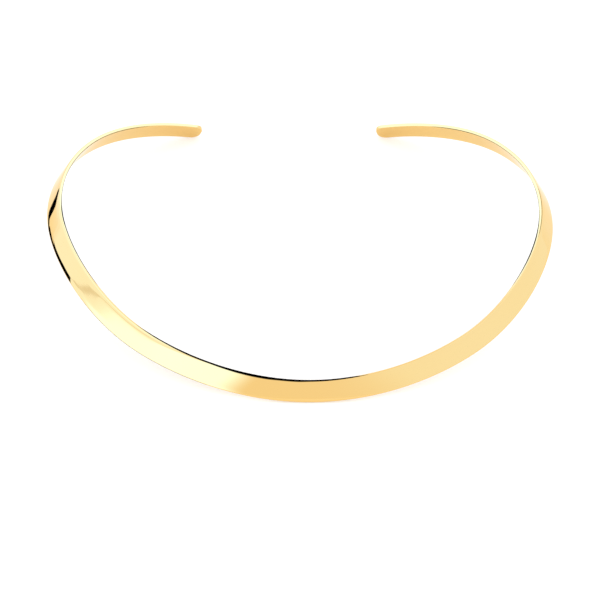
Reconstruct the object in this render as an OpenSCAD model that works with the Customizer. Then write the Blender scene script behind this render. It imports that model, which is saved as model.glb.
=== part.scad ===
// Rigid open collar choker: a flat polished strip bent to the neck's oval, open at the back.
// Millimetres, +Z up. The front centre faces -Y, the opening faces +Y, and X runs across the neck.
// The collar stands as it does on a table, on the lower edge of its front and of its two tips.

/* [Strip] */
// Length of the strip along its middle line from tip to tip, seen from above
strip_length = 333; // [320:1:346]
// Width of the strip
strip_width = 5.5; // [4.6:0.1:8]
// Thickness of the strip
strip_thick = 1; // [0.7:0.1:1.5]
// Radius that polishing leaves on the long edges
edge_radius = 0.15; // [0.1:0.05:0.3]
// Radius of the corners at the two tips, seen on the face of the strip
tip_radius = 2.2; // [0.8:0.1:2.2]

/* [Bend of the ring, seen from above] */
// Bend radius at the front centre
front_bend = 76.5; // [64:0.5:90]
// Bend radius a quarter of the way to the tip
front_side_bend = 58.5; // [56:0.5:66]
// Bend radius half way to the tip
side_bend = 55.5; // [53:0.5:62]
// Bend radius three quarters of the way to the tip
back_side_bend = 60; // [53:0.5:63]
// Bend radius at the tip
back_bend = 37; // [35:1:56]

/* [Flare of the face] */
// Lean of the face at the front centre, lower edge outwards, in degrees
front_flare = 22; // [0:1:45]
// Lean a quarter of the way to the tip
front_side_flare = 41; // [0:1:45]
// Lean half way to the tip
side_flare = 37; // [0:1:45]
// Lean three quarters of the way to the tip
back_side_flare = 29; // [0:1:45]
// Lean at the tip
back_flare = 27; // [0:1:45]

/* [Arch of the sides] */
// Rise of the middle line above its front, a quarter of the way to the tip
front_side_rise = 4.7; // [0:0.1:8]
// Rise half way to the tip
side_rise = 13.4; // [0:0.1:16]
// Rise three quarters of the way to the tip
back_side_rise = 10.7; // [0:0.1:14]
// Rise at the tip
back_rise = -0.7; // [-1:0.1:1]

/* [Smoothness] */
// Sections along half of the strip, before its tip
half_sections = 60; // [30:2:90]
// Sections along the rounded tip
tip_sections = 7; // [3:1:10]
// Points along each rounded edge of the section
edge_points = 4; // [2:1:6]

/* [Hidden] */
gold_colour = "#F3CB80";

// Each row is a quarter of the way further from the front centre to a tip
// Columns: bend radius, flare of the face, rise of the middle line
BEND = 0;
FLARE = 1;
RISE = 2;
STATIONS = [
    [front_bend, front_flare, 0],
    [front_side_bend, front_side_flare, front_side_rise],
    [side_bend, side_flare, side_rise],
    [back_side_bend, back_side_flare, back_side_rise],
    [back_bend, back_flare, back_rise],
];
last_row = len(STATIONS) - 1;

half_length = strip_length / 2;
tip_start = half_length - tip_radius;
// Least flat left between the two rounded edges of the section, each side of its middle
least_flat = 0.05;

// A column of the stations, one row longer at each end: the strip is the mirror of itself before
// the front centre, and carries straight on past the tip
function column(values) = concat(
    [values[1]],
    values,
    [2 * values[last_row] - values[last_row - 1]]
);

bend_column = column([for (row = STATIONS) 1 / row[BEND]]);
flare_column = column([for (row = STATIONS) row[FLARE]]);
rise_column = column([for (row = STATIONS) row[RISE]]);

// Smooth curve from b to c at share f of the way, with a and d as its neighbours
function smooth(a, b, c, d, f) =
    b
    + (c - a) * f / 2
    + (2 * a - 5 * b + 4 * c - d) * pow(f, 2) / 2
    + (3 * b - a - 3 * c + d) * pow(f, 3) / 2;

// Value of a column at a distance s from the front centre
function at(values, s) =
    let (
        way = s / half_length * last_row,
        row = min(floor(way), last_row - 1)
    )
    smooth(values[row], values[row + 1], values[row + 2], values[row + 3], way - row);

// Distances from the front centre to the sections of one half, closer together round the tip
distances = concat(
    [for (i = [0 : half_sections - 1]) i / half_sections * tip_start],
    [for (i = [0 : tip_sections]) tip_start + tip_radius * sin(90 * i / tip_sections)]
);
last = len(distances) - 1;
function step(i) = distances[min(i + 1, last)] - distances[i];
function middle(i) = (distances[min(i + 1, last)] + distances[i]) / 2;

// Heading of the strip in plan at each section, in degrees from +X
function turn_after(i) = step(i) * at(bend_column, middle(i)) * 180 / PI;
headings = [for (i = 0, turn = 0; i <= last; turn = turn + turn_after(i), i = i + 1) turn];
function mid_heading(i) = (headings[min(i + 1, last)] + headings[i]) / 2;

// Slope of the middle line at a distance s, as rise over length, read over this far each way
slope_reach = 0.5;
function slope(s) =
    let (
        low = max(s - slope_reach, 0),
        high = min(s + slope_reach, half_length)
    )
    (at(rise_column, high) - at(rise_column, low)) / (high - low);

// Middle line of one half, from the front centre to the tip
across = [for (i = 0, x = 0; i <= last; x = x + step(i) * cos(mid_heading(i)), i = i + 1) x];
along = [for (i = 0, y = 0; i <= last; y = y + step(i) * sin(mid_heading(i)), i = i + 1) y];

// Half the width of the strip at a distance s: full, then round the corners of the tip
function half_width(s) =
    s <= tip_start
        ? strip_width / 2
        : strip_width / 2 - tip_radius + sqrt(max(pow(tip_radius, 2) - pow(s - tip_start, 2), 0));

// Section of the strip as [place across its width, place through its thickness]
function section_points(half_w) = [
    for (corner = [0 : 3], i = [0 : edge_points - 1])
        let (
            angle = 90 * (corner + i / (edge_points - 1)),
            side_w = corner == 0 || corner == 3 ? 1 : -1,
            side_t = corner < 2 ? 1 : -1
        )
        [
            side_w * max(half_w - edge_radius, least_flat) + edge_radius * cos(angle),
            side_t * (strip_thick / 2 - edge_radius) + edge_radius * sin(angle),
        ]
];

// Section number i of one half in space; mirrored is -1 for the left half and 1 for the right
function section(i, mirrored) =
    let (
        s = distances[i],
        flare = at(flare_column, s),
        outward = [sin(headings[i]), -cos(headings[i]), 0],
        run = [cos(headings[i]), sin(headings[i]), slope(s)],
        up = cross(outward, run) / norm(cross(outward, run)),
        face = outward * cos(flare) + up * sin(flare),
        rib = up * cos(flare) - outward * sin(flare),
        centre = [across[i], along[i], at(rise_column, s)]
    )
    [
        for (p = section_points(half_width(s)))
            let (q = centre + rib * p[0] + face * p[1])
            [mirrored * q[0], q[1], q[2]]
    ];

// All points of the strip, from the left tip over the front centre to the right tip
points = concat(
    [for (i = [last : -1 : 1]) each section(i, -1)],
    [for (i = [0 : last]) each section(i, 1)]
);
ring = 4 * edge_points;
ring_count = 2 * last + 1;

// Where the bent strip lies before it is stood on its base
lowest = min([for (p = points) p[2]]);
nearest = min([for (p = points) p[1]]);
furthest = max([for (p = points) p[1]]);

walls = [
    for (r = [0 : ring_count - 2], i = [0 : ring - 1])
        let (next = (i + 1) % ring)
        each [
            [r * ring + i, r * ring + next, (r + 1) * ring + next],
            [r * ring + i, (r + 1) * ring + next, (r + 1) * ring + i],
        ]
];
left_end = [for (i = [ring - 1 : -1 : 0]) i];
right_end = [for (i = [0 : ring - 1]) (ring_count - 1) * ring + i];

// The whole collar, standing on the table with the middle of its box over the origin
module collar_band() {
    color(gold_colour)
        translate([0, -(nearest + furthest) / 2, -lowest])
            polyhedron(points = points, faces = concat(walls, [left_end, right_end]));
}

collar_band();
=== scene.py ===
"""Looks of a rigid open collar choker: a flat polished gold strip bent to the neck's oval.

Everything is in metres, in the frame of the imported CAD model. The front centre faces -Y.
"""

import math

import bmesh
import bpy
from bpy.props import (
    FloatProperty,
    FloatVectorProperty,
    IntProperty,
    PointerProperty,
    StringProperty,
)
from mathutils import Matrix, Vector


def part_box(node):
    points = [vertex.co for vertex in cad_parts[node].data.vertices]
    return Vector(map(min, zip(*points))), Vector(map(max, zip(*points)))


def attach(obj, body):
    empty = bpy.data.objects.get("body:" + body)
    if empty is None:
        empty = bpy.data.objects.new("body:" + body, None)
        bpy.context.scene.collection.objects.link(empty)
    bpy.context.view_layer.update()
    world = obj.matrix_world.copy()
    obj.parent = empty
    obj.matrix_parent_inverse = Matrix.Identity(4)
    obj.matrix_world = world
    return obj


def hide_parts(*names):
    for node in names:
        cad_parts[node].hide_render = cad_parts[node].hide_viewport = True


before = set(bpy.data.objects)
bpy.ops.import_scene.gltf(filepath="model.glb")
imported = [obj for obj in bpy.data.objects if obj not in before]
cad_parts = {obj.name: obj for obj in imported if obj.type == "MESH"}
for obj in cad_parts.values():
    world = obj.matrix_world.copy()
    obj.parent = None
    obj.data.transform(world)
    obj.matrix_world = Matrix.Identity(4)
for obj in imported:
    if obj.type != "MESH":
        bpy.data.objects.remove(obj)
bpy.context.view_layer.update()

bl_info = {
    "name": "Open Collar Choker",
    "version": (1, 0, 0),
    "blender": (4, 5, 0),
    "location": "3D View > Sidebar > Choker",
    "description": "Builds a rigid open collar of polished gold strip, and a pale stage for it",
    "category": "Add Mesh",
}

MM = 0.001
BAND_NODE = "collar_band"
BODY = "root"
# Where each point of the strip lay before it was bent
STRIP_MAP = "strip"
# Where a screen fades out: 0 at its rim and 1 inside
RIM_MAP = "rim"


# Colours, nodes and objects

# Curve of the sRGB standard
SRGB_KNEE = 0.04045
SRGB_SLOPE = 12.92
SRGB_OFFSET = 0.055
SRGB_POWER = 2.4


def linear(hex_colour):
    """A linear RGBA colour from an sRGB hex value such as F5CA7C."""
    channels = []
    for start in (0, 2, 4):
        value = int(hex_colour[start:start + 2], 16) / 255
        if value <= SRGB_KNEE:
            channels.append(value / SRGB_SLOPE)
        else:
            channels.append(((value + SRGB_OFFSET) / (1 + SRGB_OFFSET)) ** SRGB_POWER)
    return (*channels, 1.0)


def add_node(tree, kind, settings=None, inputs=None):
    """Adds one node, sets its properties, and sets or links its inputs."""
    node = tree.nodes.new(kind)
    for name, value in (settings or {}).items():
        setattr(node, name, value)
    for name, value in (inputs or {}).items():
        if isinstance(value, bpy.types.NodeSocket):
            tree.links.new(value, node.inputs[name])
        else:
            node.inputs[name].default_value = value
    return node


def new_material(name):
    """An empty node material with its output node."""
    material = bpy.data.materials.new(name)
    material.use_nodes = True
    tree = material.node_tree
    tree.nodes.clear()
    output = add_node(tree, "ShaderNodeOutputMaterial")
    return material, tree, output


def add_object(context, name, shape, material):
    """Puts a finished shape into the scene as an object with one material."""
    mesh = bpy.data.meshes.new(name)
    shape.to_mesh(mesh)
    shape.free()
    mesh.materials.append(material)
    thing = bpy.data.objects.new(name, mesh)
    context.scene.collection.objects.link(thing)
    return thing


# Sizes and colours that a user would change


class ChokerStrip(bpy.types.PropertyGroup):
    """The metal strip before it is bent."""

    length: FloatProperty(
        name="Length",
        description="Length of the strip from tip to tip, seen from above",
        default=333 * MM,
        unit="LENGTH",
    )
    width: FloatProperty(
        name="Width",
        description="Width of the strip",
        default=5.5 * MM,
        unit="LENGTH",
    )
    thickness: FloatProperty(
        name="Thickness",
        description="Thickness of the strip",
        default=1.0 * MM,
        unit="LENGTH",
    )
    edge_radius: FloatProperty(
        name="Edge radius",
        description="Radius that polishing leaves on the long edges",
        default=0.15 * MM,
        unit="LENGTH",
    )
    tip_radius: FloatProperty(
        name="Tip radius",
        description="Radius of the corners at the two tips",
        default=2.2 * MM,
        unit="LENGTH",
    )
    crown: FloatProperty(
        name="Crown",
        description="How far the middle of the face stands out past its edges",
        default=0.02 * MM,
        unit="LENGTH",
    )
    rolled_width: FloatProperty(
        name="Rolled width",
        description="Width along each edge of the face that buffing has rolled over",
        default=1.0 * MM,
        unit="LENGTH",
    )
    rolled_drop: FloatProperty(
        name="Rolled drop",
        description="How far the buffed face falls away at its edges",
        default=0.085 * MM,
        unit="LENGTH",
    )


class ChokerBend(bpy.types.PropertyGroup):
    """The bent shape, at five places from the front centre to a tip."""

    radii: FloatVectorProperty(
        name="Bend radii",
        description="Bend radius at 0, 1/4, 1/2, 3/4 and all of the way to the tip",
        size=5,
        default=(76.5 * MM, 58.5 * MM, 55.5 * MM, 60 * MM, 37 * MM),
        unit="LENGTH",
    )
    flares: FloatVectorProperty(
        name="Flares",
        description="Lean of the face at the same places, its lower edge outwards",
        size=5,
        default=tuple(math.radians(lean) for lean in (22, 41, 37, 29, 27)),
        unit="ROTATION",
    )
    rises: FloatVectorProperty(
        name="Rises",
        description="Rise of the middle line above its front at the same places",
        size=5,
        default=(0, 4.7 * MM, 13.4 * MM, 10.7 * MM, -0.7 * MM),
        unit="LENGTH",
    )
    rings: IntProperty(
        name="Rings",
        description="Cuts along the strip between its two tips",
        default=441,
    )


class ChokerGold(bpy.types.PropertyGroup):
    """The plated and polished surface."""

    gold: StringProperty(
        name="Gold",
        description="Colour of the plating, as an sRGB hex value",
        default="EBC276",
    )
    pale_gold: StringProperty(
        name="Pale gold",
        description="Colour of the plating where it is a little thinner",
        default="ECC782",
    )
    edge_gold: StringProperty(
        name="Edge gold",
        description="Tint that real gold keeps where the surface is seen at a grazing angle",
        default="FDFAF2",
    )
    roughness: FloatProperty(
        name="Roughness",
        description="Roughness of the polished face",
        default=0.025,
        subtype="FACTOR",
    )


class ChokerStage(bpy.types.PropertyGroup):
    """The floor, the lights and the camera."""

    floor_size: FloatProperty(
        name="Floor size",
        description="Length of each side of the floor",
        default=6.0,
        unit="LENGTH",
    )
    floor_colour: StringProperty(
        name="Floor",
        description="Colour of the floor, as an sRGB hex value",
        default="DADADA",
    )
    floor_glow: FloatProperty(
        name="Floor glow",
        description="Light that comes up through the floor sheet",
        default=0.30,
    )
    camera_place: FloatVectorProperty(
        name="Camera",
        description="Where the camera stands",
        size=3,
        default=(-47.63 * MM, -614.89 * MM, 470.64 * MM),
        unit="LENGTH",
    )
    camera_target: FloatVectorProperty(
        name="Target",
        description="Point in the middle of the picture",
        size=3,
        default=(-0.77 * MM, -19.38 * MM, 2.65 * MM),
        unit="LENGTH",
    )
    camera_roll: FloatProperty(
        name="Roll",
        description="Turn of the camera about its own view, anticlockwise",
        default=math.radians(2.634),
        unit="ROTATION",
    )
    camera_lens: FloatProperty(
        name="Lens",
        description="Focal length in millimetres, on a 36 mm sensor",
        default=179.8,
        subtype="DISTANCE_CAMERA",
    )
    sky: FloatProperty(
        name="Studio light",
        description="Brightness of the white studio all round",
        default=1.12,
    )
    fill: FloatProperty(
        name="Front fill",
        description="Strength of the broad light from the front that lifts the floor's shadows",
        default=0.8,
    )


# The bent shape of the strip

# Length of the short straight pieces that the bent middle line is added up from
ROUTE_STEP = 0.25 * MM
# How far each way the slope of the middle line is read
SLOPE_REACH = 0.5 * MM


def smooth(a, b, c, d, share):
    """Smooth curve from b to c at a share of the way, with a and d as its neighbours."""
    first = (c - a) * share / 2
    second = (2 * a - 5 * b + 4 * c - d) * share ** 2 / 2
    third = (3 * b - a - 3 * c + d) * share ** 3 / 2
    return b + first + second + third


class Route:
    """Middle line, heading, flare and rise of half the strip, from the front to a tip."""

    def __init__(self, strip, bend):
        self.half_length = strip.length / 2
        self.bends = self.column([1 / radius for radius in bend.radii])
        self.flares = self.column(list(bend.flares))
        self.rises = self.column(list(bend.rises))
        self.stops = [(0.0, 0.0, 0.0)]
        for index in range(math.ceil(self.half_length / ROUTE_STEP) + 1):
            across, along, heading = self.stops[-1]
            middle = min((index + 0.5) * ROUTE_STEP, self.half_length)
            after = heading + ROUTE_STEP * self.at(self.bends, middle)
            between = (heading + after) / 2
            across += ROUTE_STEP * math.cos(between)
            along += ROUTE_STEP * math.sin(between)
            self.stops.append((across, along, after))

    def column(self, values):
        """The values with one more at each end: a mirror before the front, straight on after."""
        return [values[1], *values, 2 * values[-1] - values[-2]]

    def at(self, column, distance):
        """Value of a column at a distance from the front centre."""
        spans = len(column) - 3
        way = distance / self.half_length * spans
        row = min(int(way), spans - 1)
        return smooth(*column[row:row + 4], way - row)

    def slope(self, distance):
        """Rise of the middle line over its length in plan."""
        low = max(distance - SLOPE_REACH, 0)
        high = min(distance + SLOPE_REACH, self.half_length)
        return (self.at(self.rises, high) - self.at(self.rises, low)) / (high - low)

    def place(self, point):
        """Where a point of the flat blank goes: x along it, y across its width, z through it."""
        side = -1 if point.x < 0 else 1
        distance = min(abs(point.x), self.half_length)
        index = int(distance / ROUTE_STEP)
        share = distance / ROUTE_STEP - index
        before, after = self.stops[index], self.stops[index + 1]
        across, along, heading = (b + (a - b) * share for b, a in zip(before, after))
        flare = self.at(self.flares, distance)
        outward = Vector((math.sin(heading), -math.cos(heading), 0))
        run = Vector((math.cos(heading), math.sin(heading), self.slope(distance)))
        up = outward.cross(run).normalized()
        face = outward * math.cos(flare) + up * math.sin(flare)
        rib = up * math.cos(flare) - outward * math.sin(flare)
        centre = Vector((across, along, self.at(self.rises, distance)))
        there = centre + rib * point.y + face * point.z
        return Vector((side * there.x, there.y, there.z))


# The collar band

# Steps round each corner of the tips and round each long edge
TIP_CORNER_STEPS = 12
EDGE_STEPS = 4
# Rows of points along the faces, and cuts across each rounded tip
FACE_ROWS = 15
TIP_CUTS = 6
# Points nearer to a cut than this count as lying on it
CUT_TOLERANCE = 1e-7
# How far the outermost rows lie inside the rounded edge, so that the face stays flat up to it
ROW_MARGIN = 0.05 * MM


def cut(shape, place, normal):
    """Cuts a shape through at a plane."""
    bmesh.ops.bisect_plane(
        shape,
        geom=shape.verts[:] + shape.edges[:] + shape.faces[:],
        dist=CUT_TOLERANCE,
        plane_co=place,
        plane_no=normal,
    )


def round_off(blank, parts, radius, affect, steps):
    """Rounds corners or edges of the blank."""
    bmesh.ops.bevel(
        blank,
        geom=parts,
        offset=radius,
        offset_type="OFFSET",
        affect=affect,
        segments=steps,
        profile=0.5,
        material=-1,
    )


def flat_blank(strip, rings):
    """The strip before bending: a rectangle with rounded tips, given its thickness and edges."""
    blank = bmesh.new()
    bmesh.ops.create_grid(blank, x_segments=1, y_segments=1, size=0.5)
    bmesh.ops.scale(blank, vec=(strip.length, strip.width, 1), verts=blank.verts)
    round_off(blank, blank.verts[:], strip.tip_radius, "VERTICES", TIP_CORNER_STEPS)
    bmesh.ops.translate(blank, vec=(0, 0, -strip.thickness / 2), verts=blank.verts)
    lower_rim = blank.edges[:]
    made = bmesh.ops.extrude_face_region(blank, geom=blank.faces[:], use_keep_orig=True)["geom"]
    raised = [part for part in made if isinstance(part, bmesh.types.BMVert)]
    upper_rim = [part for part in made if isinstance(part, bmesh.types.BMEdge)]
    bmesh.ops.translate(blank, vec=(0, 0, strip.thickness), verts=raised)
    bmesh.ops.recalc_face_normals(blank, faces=blank.faces)
    round_off(blank, lower_rim + upper_rim, strip.edge_radius, "EDGES", EDGE_STEPS)
    # Rows along the strip, closer together towards the rolled edges
    reach = strip.width / 2 - strip.edge_radius - ROW_MARGIN
    for row in range(FACE_ROWS):
        place = -reach * math.cos(math.pi * row / (FACE_ROWS - 1))
        cut(blank, (0, place, 0), (0, 1, 0))
    # Cuts across the rounded tips, closer together towards their ends
    tip_start = strip.length / 2 - strip.tip_radius
    for step in range(TIP_CUTS):
        place = tip_start + strip.tip_radius * math.sin(math.pi / 2 * step / TIP_CUTS)
        cut(blank, (place, 0, 0), (1, 0, 0))
        cut(blank, (-place, 0, 0), (1, 0, 0))
    long_edges = [edge for edge in blank.edges if edge.calc_length() > tip_start]
    bmesh.ops.subdivide_edges(blank, edges=long_edges, cuts=rings, use_grid_fill=True)
    return blank


def mark_strip_map(blank):
    """Stores where each point lay on the flat strip, in metres, for marks that follow it."""
    layer = blank.loops.layers.uv.new(STRIP_MAP)
    for face in blank.faces:
        for loop in face.loops:
            loop[layer].uv = (loop.vert.co.x, loop.vert.co.y)


def buffed(point, strip):
    """A point of the blank after buffing: the face slightly crowned, its long edges rolled over."""
    drop = strip.crown * (2 * point.y / strip.width) ** 2
    if point.z > 0:
        flat_reach = strip.width / 2 - strip.rolled_width
        way_over = max(abs(point.y) - flat_reach, 0) / strip.rolled_width
        drop += strip.rolled_drop * way_over ** 2 * 2 * point.z / strip.thickness
    return Vector((point.x, point.y, point.z - drop))


def bent_strip(choker, rings):
    """The strip buffed and bent, but not yet standing where the CAD strip stands."""
    route = Route(choker.strip, choker.bend)
    blank = flat_blank(choker.strip, rings)
    mark_strip_map(blank)
    for vert in blank.verts:
        vert.co = route.place(buffed(vert.co, choker.strip))
    return blank


def standing_shift(bent):
    """How far the bent strip moves to stand where the CAD strip stands."""
    low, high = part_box(BAND_NODE)
    nearest = min(vert.co.y for vert in bent.verts)
    furthest = max(vert.co.y for vert in bent.verts)
    lowest = min(vert.co.z for vert in bent.verts)
    return Vector((0, (low[1] + high[1]) / 2 - (nearest + furthest) / 2, low[2] - lowest))


class CHOKER_OT_collar_band(bpy.types.Operator):
    """Builds the bent, plated and polished strip"""

    bl_idname = "choker.collar_band"
    bl_label = "Collar Band"
    bl_options = {"REGISTER", "UNDO"}

    def execute(self, context):
        choker = context.scene.choker
        bent = bent_strip(choker, choker.bend.rings)
        bmesh.ops.translate(bent, vec=standing_shift(bent), verts=bent.verts)
        bmesh.ops.recalc_face_normals(bent, faces=bent.faces)
        for face in bent.faces:
            face.smooth = True
        band = add_object(context, "collar_band_polished", bent, gold_plated_brass(choker.gold))
        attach(band, BODY)
        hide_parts(BAND_NODE)
        return {"FINISHED"}


# Soft patches of the plating's tone
PATCH_SIZE = 30 * MM
# Polishing lines along the strip: real ones are 0.01 mm apart, drawn this far apart to show
LINE_SPACING = 0.2 * MM
LINE_LENGTH = 12 * MM
LINE_HEIGHT = 0.0004 * MM
# The part of the lines' noise that shows as haze, and how much rougher the haze gets
HAZE_START = 0.35
HAZE_END = 0.75
HAZE_GAIN = 2.2
# Buffing leaves the faces very slightly wavy
WAVE_SIZE = 15 * MM
WAVE_HEIGHT = 0.05 * MM


def gold_plated_brass(gold):
    """Brass strip plated with pale yellow gold and buffed to a mirror.

    The eye gets clean mirror images of the studio, a little drawn out and bent because no buffed
    strip is truly flat, and a haze of the finest polishing lines that runs along the strip.
    """
    material, tree, output = new_material("gold_plated_brass_polished")
    coordinates = add_node(tree, "ShaderNodeTexCoord")
    strip_place = add_node(tree, "ShaderNodeUVMap", {"uv_map": STRIP_MAP})
    patches = add_node(
        tree,
        "ShaderNodeTexNoise",
        inputs={
            "Vector": coordinates.outputs["Object"],
            "Scale": 1 / PATCH_SIZE,
            "Detail": 2.0,
        },
    )
    tone = add_node(
        tree,
        "ShaderNodeMix",
        {"data_type": "RGBA"},
        {
            "Factor": patches.outputs["Fac"],
            "A": linear(gold.gold),
            "B": linear(gold.pale_gold),
        },
    )
    drawn_out = add_node(
        tree,
        "ShaderNodeMapping",
        inputs={
            "Vector": strip_place.outputs["UV"],
            "Scale": (1 / LINE_LENGTH, 1 / LINE_SPACING, 1),
        },
    )
    lines = add_node(
        tree,
        "ShaderNodeTexNoise",
        inputs={"Vector": drawn_out.outputs["Vector"], "Scale": 1.0, "Detail": 3.0},
    )
    haze = add_node(
        tree,
        "ShaderNodeMapRange",
        inputs={
            "Value": lines.outputs["Fac"],
            "From Min": HAZE_START,
            "From Max": HAZE_END,
            "To Min": gold.roughness,
            "To Max": gold.roughness * HAZE_GAIN,
        },
    )
    waves = add_node(
        tree,
        "ShaderNodeTexNoise",
        inputs={
            "Vector": coordinates.outputs["Object"],
            "Scale": 1 / WAVE_SIZE,
            "Detail": 0.0,
        },
    )
    wavy = add_node(
        tree,
        "ShaderNodeBump",
        inputs={"Height": waves.outputs["Fac"], "Strength": 1.0, "Distance": WAVE_HEIGHT},
    )
    lined = add_node(
        tree,
        "ShaderNodeBump",
        inputs={
            "Height": lines.outputs["Fac"],
            "Strength": 1.0,
            "Distance": LINE_HEIGHT,
            "Normal": wavy.outputs["Normal"],
        },
    )
    shader = add_node(
        tree,
        "ShaderNodeBsdfPrincipled",
        inputs={
            "Base Color": tone.outputs["Result"],
            "Metallic": 1.0,
            "Specular Tint": linear(gold.edge_gold),
            "Roughness": haze.outputs["Result"],
            "Normal": lined.outputs["Normal"],
        },
    )
    tree.links.new(shader.outputs["BSDF"], output.inputs["Surface"])
    return material


# The stage


def white_floor(stage):
    """Opal acrylic sheet with a sanded matt face, lit a little from below: bright and plain.

    The light from below keeps the shadow under the collar faint, as on a photographer's table.
    """
    material, tree, output = new_material("opal_acrylic_floor")
    shader = add_node(
        tree,
        "ShaderNodeBsdfPrincipled",
        inputs={
            "Base Color": linear(stage.floor_colour),
            "Roughness": 1.0,
            "Specular IOR Level": 0.0,
            "Emission Color": linear("FFFFFF"),
            "Emission Strength": stage.floor_glow,
        },
    )
    tree.links.new(shader.outputs["BSDF"], output.inputs["Surface"])
    return material


def screen_material(name, colour, brightness):
    """Cloth of a softbox, or black felt at brightness 0, which fades out towards its rim.

    Mirror faces show it as one soft patch of light or shade. Its back is clear too, so that a
    card over the floor doesn't darken the floor below it.
    """
    cloth_kind = "softbox_cloth_" if brightness > 0 else "black_felt_"
    material, tree, output = new_material(cloth_kind + name)
    rim_map = add_node(tree, "ShaderNodeUVMap", {"uv_map": RIM_MAP})
    way_in = add_node(tree, "ShaderNodeSeparateXYZ", inputs={"Vector": rim_map.outputs["UV"]})
    softened = add_node(
        tree,
        "ShaderNodeMapRange",
        {"interpolation_type": "SMOOTHSTEP"},
        {"Value": way_in.outputs["X"]},
    )
    cloth = add_node(
        tree,
        "ShaderNodeEmission",
        inputs={"Color": linear(colour), "Strength": brightness},
    )
    clear = add_node(tree, "ShaderNodeBsdfTransparent")
    front = add_node(
        tree,
        "ShaderNodeMixShader",
        inputs={
            "Fac": softened.outputs["Result"],
            1: clear.outputs["BSDF"],
            2: cloth.outputs["Emission"],
        },
    )
    side = add_node(tree, "ShaderNodeNewGeometry")
    both = add_node(
        tree,
        "ShaderNodeMixShader",
        inputs={
            "Fac": side.outputs["Backfacing"],
            1: front.outputs["Shader"],
            2: clear.outputs["BSDF"],
        },
    )
    tree.links.new(both.outputs["Shader"], output.inputs["Surface"])
    return material


# Softboxes and black cards round the collar, which only its mirror faces see
# Each outline is (azimuth, elevation) in degrees; azimuth is from the back, +Y, towards +X
# The screen is at full brightness inside the second outline and fades out to the first
# Name, colour, brightness, distance in metres, outer outline, inner outline
SCREENS = (
    (
        "left_softbox", "A8C8FF", 3.5, 1.15,
        (
            (-168, -4), (-96, -4), (-95, 8), (-93.5, 14), (-92.5, 18.5), (-92.5, 20.9),
            (-99.3, 24.8), (-103.8, 27.1), (-109.5, 30.3), (-116, 34.1), (-121, 36.1),
            (-125.5, 36.9), (-140, 39.8), (-168, 45),
        ),
        (
            (-158, -2), (-111.5, -2), (-110.5, 10), (-108, 17.5), (-106.8, 20.5), (-106.3, 22.2),
            (-106.8, 24.2), (-108, 25.8), (-110.2, 27.4), (-115.8, 30.8), (-121, 33.2),
            (-125.5, 34.4), (-140, 37), (-158, 37.8),
        ),
    ),
    (
        "far_left_softbox", "C6D9FF", 2.17, 1.3,
        ((-165, -4), (-20, -4), (-20, 40), (-60, 78), (-165, 78)),
        ((-140, 4), (-45, 4), (-50, 25), (-75, 60), (-140, 60)),
    ),
    (
        "upper_left_softbox", "B7D1FF", 2.69, 1.12,
        (
            (-36, 1), (-46, -1), (-53, 4), (-61, 9), (-70, 14), (-79, 18.5), (-87, 23),
            (-95, 27.5), (-102, 31), (-109, 34), (-125, 40), (-150, 44), (-150, 70), (-36, 70),
        ),
        (
            (-42, 11), (-47, 9), (-54, 14), (-61, 19), (-70, 24), (-78, 28), (-86, 32),
            (-94, 35.5), (-101, 38.5), (-109, 41), (-125, 45.5), (-140, 50), (-140, 62), (-44, 62),
        ),
    ),
    (
        "left_softbox_frame", "DDE8FF", 1.34, 1.08,
        (
            (-84.2, 14), (-87.1, 17), (-91.2, 19.48), (-95.4, 22.14), (-99.8, 24.64),
            (-103.5, 26.5), (-107.5, 29.7), (-110.9, 32.1), (-116.8, 34.7), (-123.4, 37.5),
            (-128, 39.3), (-128, 39.9), (-123.4, 38.5), (-116.8, 35.7), (-110.9, 33.1),
            (-107.5, 30.9), (-103.5, 27.5), (-99.8, 25.36), (-95.4, 22.86), (-91.2, 20.32),
            (-87.1, 17.8), (-84.2, 14.8),
        ),
        (
            (-84.7, 14.62), (-87.1, 17.22), (-91.2, 19.71), (-95.4, 22.34), (-99.8, 24.84),
            (-103.5, 26.77), (-107.5, 30.03), (-110.9, 32.38), (-116.8, 34.98), (-123.4, 37.77),
            (-127.2, 39.47), (-127.2, 39.73), (-123.4, 38.23), (-116.8, 35.43), (-110.9, 32.83),
            (-107.5, 30.57), (-103.5, 27.23), (-99.8, 25.16), (-95.4, 22.66), (-91.2, 20.09),
            (-87.1, 17.58), (-84.7, 14.98),
        ),
    ),
    (
        "left_black_card", "000000", 0, 1.1,
        (
            (-48, -4), (-84.7, -4), (-84.7, 15), (-76, 10.5), (-70, 7), (-63, 3), (-57, 0.5),
            (-48, -1),
        ),
        (
            (-48.5, -3.8), (-84.5, -3.8), (-84.5, 14.5), (-76, 10), (-70, 6.5), (-63, 2.5),
            (-57, 0), (-48.5, -1.2),
        ),
    ),
    (
        "right_softbox", "D9E6FF", 1.67, 1.3,
        ((172, -7), (36, -7), (36, 45), (70, 70), (172, 60)),
        ((145, -3), (62, -3), (62, 35), (80, 50), (145, 45)),
    ),
    (
        "back_right_softbox", "AECBFF", 3.14, 1.05,
        ((20, -4), (37, -4), (42, 18), (60, 30), (95, 48), (95, 80), (40, 80), (20, 40)),
        ((25, -3), (34, -3), (36, 18), (50, 36), (80, 55), (80, 72), (46, 72), (27, 38)),
    ),
    (
        "back_left_softbox", "AECBFF", 3.14, 1.05,
        ((-16, -4), (-36, -4), (-42, 18), (-60, 30), (-95, 44), (-95, 80), (-40, 80), (-18, 40)),
        ((-22, -3), (-33, -3), (-36, 18), (-50, 36), (-80, 52), (-80, 72), (-46, 72), (-24, 38)),
    ),
)

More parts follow.
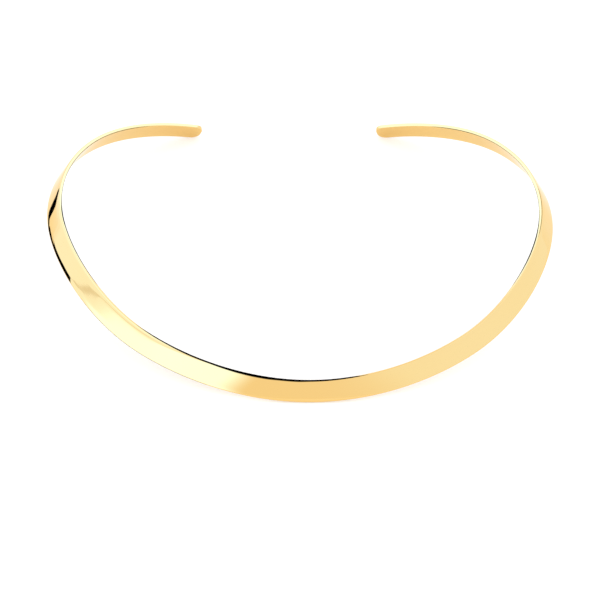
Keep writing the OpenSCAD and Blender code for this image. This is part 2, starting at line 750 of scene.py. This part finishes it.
# Cards lying just over the floor, outlines in millimetres from the middle of the collar
# Name, colour, brightness, height over the floor, outer outline, inner outline
FLOOR_CARDS = (
    (
        "left_floor_card", "000000", 0, 0.3,
        (
            (-90.5, 60), (-92.5, 57.5), (-98, 53.5), (-97.5, 28), (-112, 17), (-170, 22),
            (-1100, 20), (-950, 600), (-500, 270), (-190, 103), (-160, 86), (-140, 73), (-127, 63),
            (-124.5, 67), (-123.5, 76), (-117.5, 80), (-124, 94), (-134, 128), (-128, 130),
            (-100, 79),
        ),
        (
            (-92.5, 61), (-94, 58.5), (-99, 54.5), (-98.5, 29), (-112, 18), (-170, 24),
            (-1090, 30), (-950, 585), (-500, 264), (-190, 101), (-160, 84), (-139, 71), (-126, 60),
            (-122.5, 64), (-121.5, 73), (-115, 77), (-121, 95), (-131, 126), (-129, 127),
            (-103, 80),
        ),
    ),
    (
        "left_floor_sheet", "C9DBFF", 2.0, 0.2,
        (
            (-105, 80), (-112, 66), (-135, 78), (-165, 92), (-240, 135), (-450, 275),
            (-900, 540), (-1250, 720), (-1250, 1400), (-600, 900), (-200, 250), (-115, 125),
        ),
        (
            (-140, 115), (-150, 112), (-170, 125), (-215, 162), (-300, 232), (-480, 392),
            (-900, 700), (-1240, 950), (-1240, 1350), (-640, 860), (-240, 260), (-150, 150),
        ),
    ),
    (
        "right_floor_sheet", "E5EEFF", 1.48, 0.2,
        (
            (82, 22), (84, 34), (92, 44), (100, 56), (140, 100), (400, 330), (1250, 1150),
            (1550, 350), (400, 60), (120, 24),
        ),
        (
            (125, 38), (135, 52), (145, 66), (160, 80), (200, 118), (420, 310), (1230, 1100),
            (1500, 380), (420, 90), (160, 46),
        ),
    ),
)

# Thin black shades round the strip's long edges, close to them
# Name, 1 for the upper edge or -1 for the lower one, and the shade's rows from left to right
# Each row is a distance from the front centre in millimetres, negative on the left, and the two
# angles between which the shade lies round the edge, in degrees from straight out of the face
SHADES = (
    (
        "front_edge_shade", 1,
        (-48, 80, 110), (-45, 40, 170), (-42, 8, 185), (-38, 0, 185), (-32, -10, 185),
        (-26, -10, 185), (-22, -18, 185), (-19, -24, 185), (-15, -28, 185), (-11, -28, 185),
        (-8, -20, 185), (-3, -20, 185), (0, -10, 185), (4, -5, 185), (8, 9, 185), (12, 25, 170),
        (15, 60, 110),
    ),
    (
        "right_edge_shade", 1,
        (80, 5, 20), (83, -14, 40), (88, -20, 40), (94, -20, 40), (99, -14, 40), (103, 5, 20),
    ),
    (
        "left_inner_shade", 1,
        (-150, 165, 172), (-144, 155, 185), (-120, 155, 185), (-108, 155, 185), (-104, 165, 172),
    ),
    (
        "right_inner_shade", 1,
        (106, 165, 172), (112, 160, 180), (128, 158, 182), (138, 152, 187), (145, 152, 187),
        (150, 165, 172),
    ),
    (
        "left_rim_shade", 1,
        (-106, 165, 195), (-101, 156, 205), (-94, 152, 205), (-91, 143, 205), (-87, 143, 205),
        (-84, 150, 205), (-74, 152, 205), (-62, 165, 195),
    ),
    (
        "right_rim_shade", 1,
        (62, 165, 195), (68, 151, 205), (72, 143, 205), (79, 142, 205), (84, 150, 205),
        (90, 154, 205), (100, 157, 205), (104, 167, 195),
    ),
    (
        "left_lower_shade", -1,
        (-64, 95, 140), (-58, 68, 180), (-32, 68, 180), (-24, 95, 140),
    ),
)
# How far the shades stand off the edge, and their steps round it and between two rows
SHADE_RADIUS = 1.0 * MM
SHADE_CUTS = 16
SHADE_STEPS = 6
# A few rings are enough to find where the strip stands
SHADE_SHIFT_RINGS = 99
# Screens are bent in cells of this many degrees
SCREEN_CELL = 4.0


def mark_rim_map(sheet, full):
    """Stores 1 at the points of a sheet that are full, and 0 at its rim."""
    layer = sheet.loops.layers.uv.new(RIM_MAP)
    for face in sheet.faces:
        for loop in face.loops:
            loop[layer].uv = (1.0 if loop.vert in full else 0.0, 0.0)


def turn_faces(sheet, aim):
    """Turns each face of a sheet towards the place that aim gives for its middle."""
    sheet.normal_update()
    turned = []
    for face in sheet.faces:
        middle = face.calc_center_median()
        if face.normal.dot(aim(middle) - middle) < 0:
            turned.append(face)
    bmesh.ops.reverse_faces(sheet, faces=turned)


def screen_sheet(outer, inner):
    """A flat sheet with a rim that fades from the inner outline to the outer one."""
    sheet = bmesh.new()
    outlines = []
    for outline in (outer, inner):
        corners = [sheet.verts.new((across, up, 0)) for across, up in outline]
        outlines += [
            sheet.edges.new((corner, after))
            for corner, after in zip(corners, corners[1:] + corners[:1])
        ]
    inner_face = sheet.faces.new(corners)
    bmesh.ops.bridge_loops(sheet, edges=outlines)
    mark_rim_map(sheet, set(inner_face.verts))
    return sheet


def add_card(context, sheet, name, colour, brightness):
    """Adds a screen that only mirror faces see: no shadow, no light on the floor."""
    card = add_object(context, name, sheet, screen_material(name, colour, brightness))
    card.visible_camera = False
    card.visible_diffuse = False
    card.visible_shadow = False


def add_screen(context, name, colour, brightness, distance, outer, inner):
    """Bends a sheet drawn in azimuth and elevation round the collar."""
    sheet = screen_sheet(outer, inner)
    for axis, normal in enumerate((Vector((1, 0, 0)), Vector((0, 1, 0)))):
        low = min(vert.co[axis] for vert in sheet.verts)
        high = max(vert.co[axis] for vert in sheet.verts)
        for step in range(1, math.ceil((high - low) / SCREEN_CELL)):
            cut(sheet, normal * (low + step * SCREEN_CELL), normal)
    for vert in sheet.verts:
        turn, rise = math.radians(vert.co.x), math.radians(vert.co.y)
        flat = math.cos(rise) * distance
        vert.co = (math.sin(turn) * flat, math.cos(turn) * flat, math.sin(rise) * distance)
    turn_faces(sheet, lambda middle: Vector((0, 0, 0)))
    add_card(context, sheet, name, colour, brightness)


def add_floor_card(context, name, colour, brightness, height, outer, inner):
    """Lays a card just over the floor."""
    sheet = screen_sheet(outer, inner)
    bmesh.ops.scale(sheet, vec=(MM, MM, 1), verts=sheet.verts)
    bmesh.ops.translate(sheet, vec=(0, 0, height * MM), verts=sheet.verts)
    turn_faces(sheet, lambda middle: Vector((0, 0, 1)))
    add_card(context, sheet, name, colour, brightness)


def add_edge_shade(context, route, shift, name, side, *rows):
    """Bends a thin black shade round a long edge of the strip."""
    strip = context.scene.choker.strip
    corner_y = side * (strip.width / 2 - strip.edge_radius)
    corner_z = strip.thickness / 2 - strip.edge_radius
    spans = len(rows) - 1
    sheet = bmesh.new()
    bmesh.ops.create_grid(
        sheet,
        x_segments=spans * SHADE_STEPS,
        y_segments=SHADE_CUTS,
        size=0.5,
    )
    mark_rim_map(sheet, {vert for vert in sheet.verts if not vert.is_boundary})
    for vert in sheet.verts:
        way = (vert.co.x + 0.5) * spans
        row = min(int(way), spans - 1)
        along, start, end = (
            before + (after - before) * (way - row)
            for before, after in zip(rows[row], rows[row + 1])
        )
        angle = math.radians(start + (end - start) * (vert.co.y + 0.5))
        across = corner_y + side * SHADE_RADIUS * math.sin(angle)
        vert.co = (along * MM, across, corner_z + SHADE_RADIUS * math.cos(angle))
    turn_faces(sheet, lambda middle: Vector((middle.x, corner_y, corner_z)))
    for vert in sheet.verts:
        vert.co = route.place(vert.co)
    bmesh.ops.translate(sheet, vec=shift, verts=sheet.verts)
    add_card(context, sheet, name, "000000", 0)


# The front fill: how high it stands and how broad it is, in degrees
FILL_RISE = 45
FILL_SPREAD = 70
# The camera's sensor in millimetres, and the nearest and furthest that it sees in metres
SENSOR_WIDTH = 36.0
CLIP_START = 0.01
CLIP_END = 20.0


def add_floor(context, stage):
    """Lays the plain pale floor that the collar stands on."""
    sheet = bmesh.new()
    bmesh.ops.create_grid(sheet, x_segments=1, y_segments=1, size=stage.floor_size / 2)
    floor = add_object(context, "floor", sheet, white_floor(stage))


def add_fill(context, stage):
    """Adds the broad light from the front, which shows in no mirror face."""
    fill_data = bpy.data.lights.new("front_fill", "SUN")
    fill_data.energy = stage.fill
    fill_data.angle = math.radians(FILL_SPREAD)
    fill = bpy.data.objects.new("front_fill", fill_data)
    fill.rotation_euler = (math.radians(90 - FILL_RISE), 0, 0)
    fill.visible_glossy = False
    context.scene.collection.objects.link(fill)


def add_studio(context, stage):
    """Fills the studio all round with plain white light."""
    world = bpy.data.worlds.new("studio")
    world.use_nodes = True
    tree = world.node_tree
    tree.nodes.clear()
    light = add_node(
        tree,
        "ShaderNodeBackground",
        inputs={"Color": linear("FFFFFF"), "Strength": stage.sky},
    )
    surround = add_node(tree, "ShaderNodeOutputWorld")
    tree.links.new(light.outputs["Background"], surround.inputs["Surface"])
    context.scene.world = world


def add_camera(context, stage):
    """Sets up the camera at the photo's angle."""
    camera_data = bpy.data.cameras.new("camera")
    camera_data.lens = stage.camera_lens
    camera_data.sensor_width = SENSOR_WIDTH
    camera_data.clip_start = CLIP_START
    camera_data.clip_end = CLIP_END
    camera = bpy.data.objects.new("camera", camera_data)
    context.scene.collection.objects.link(camera)
    place = Vector(stage.camera_place)
    aim = (Vector(stage.camera_target) - place).to_track_quat("-Z", "Y")
    rolled = aim.to_matrix().to_4x4() @ Matrix.Rotation(stage.camera_roll, 4, "Z")
    camera.matrix_world = Matrix.Translation(place) @ rolled
    context.scene.camera = camera
    context.scene.view_settings.view_transform = "Standard"


class CHOKER_OT_stage(bpy.types.Operator):
    """Builds the pale floor, the soft studio light and the camera"""

    bl_idname = "choker.stage"
    bl_label = "Stage"
    bl_options = {"REGISTER", "UNDO"}

    def execute(self, context):
        choker = context.scene.choker
        stage = choker.stage
        add_floor(context, stage)
        for settings in SCREENS:
            add_screen(context, *settings)
        for settings in FLOOR_CARDS:
            add_floor_card(context, *settings)
        bent = bent_strip(choker, SHADE_SHIFT_RINGS)
        shift = standing_shift(bent)
        bent.free()
        route = Route(choker.strip, choker.bend)
        for settings in SHADES:
            add_edge_shade(context, route, shift, *settings)
        add_fill(context, stage)
        add_studio(context, stage)
        add_camera(context, stage)
        return {"FINISHED"}


class ChokerSettings(bpy.types.PropertyGroup):
    """All settings of the choker."""

    strip: PointerProperty(type=ChokerStrip)
    bend: PointerProperty(type=ChokerBend)
    gold: PointerProperty(type=ChokerGold)
    stage: PointerProperty(type=ChokerStage)


class CHOKER_PT_panel(bpy.types.Panel):
    """Lists the choker's pieces"""

    bl_idname = "CHOKER_PT_panel"
    bl_label = "Open Collar Choker"
    bl_space_type = "VIEW_3D"
    bl_region_type = "UI"
    bl_category = "Choker"

    def draw(self, context):
        for operator in OPERATORS:
            self.layout.operator(operator.bl_idname)


OPERATORS = (
    CHOKER_OT_collar_band,
    CHOKER_OT_stage,
)
CLASSES = (
    ChokerStrip,
    ChokerBend,
    ChokerGold,
    ChokerStage,
    ChokerSettings,
    *OPERATORS,
    CHOKER_PT_panel,
)


def register():
    """Registers the classes and gives the scene its settings."""
    for each in CLASSES:
        bpy.utils.register_class(each)
    bpy.types.Scene.choker = PointerProperty(type=ChokerSettings)


def unregister():
    """Takes the settings and the classes away again."""
    del bpy.types.Scene.choker
    for each in reversed(CLASSES):
        bpy.utils.unregister_class(each)


def main():
    register()
    bpy.ops.choker.collar_band()
    bpy.ops.choker.stage()
    bpy.context.view_layer.update()


if __name__ == "__main__":
    main()
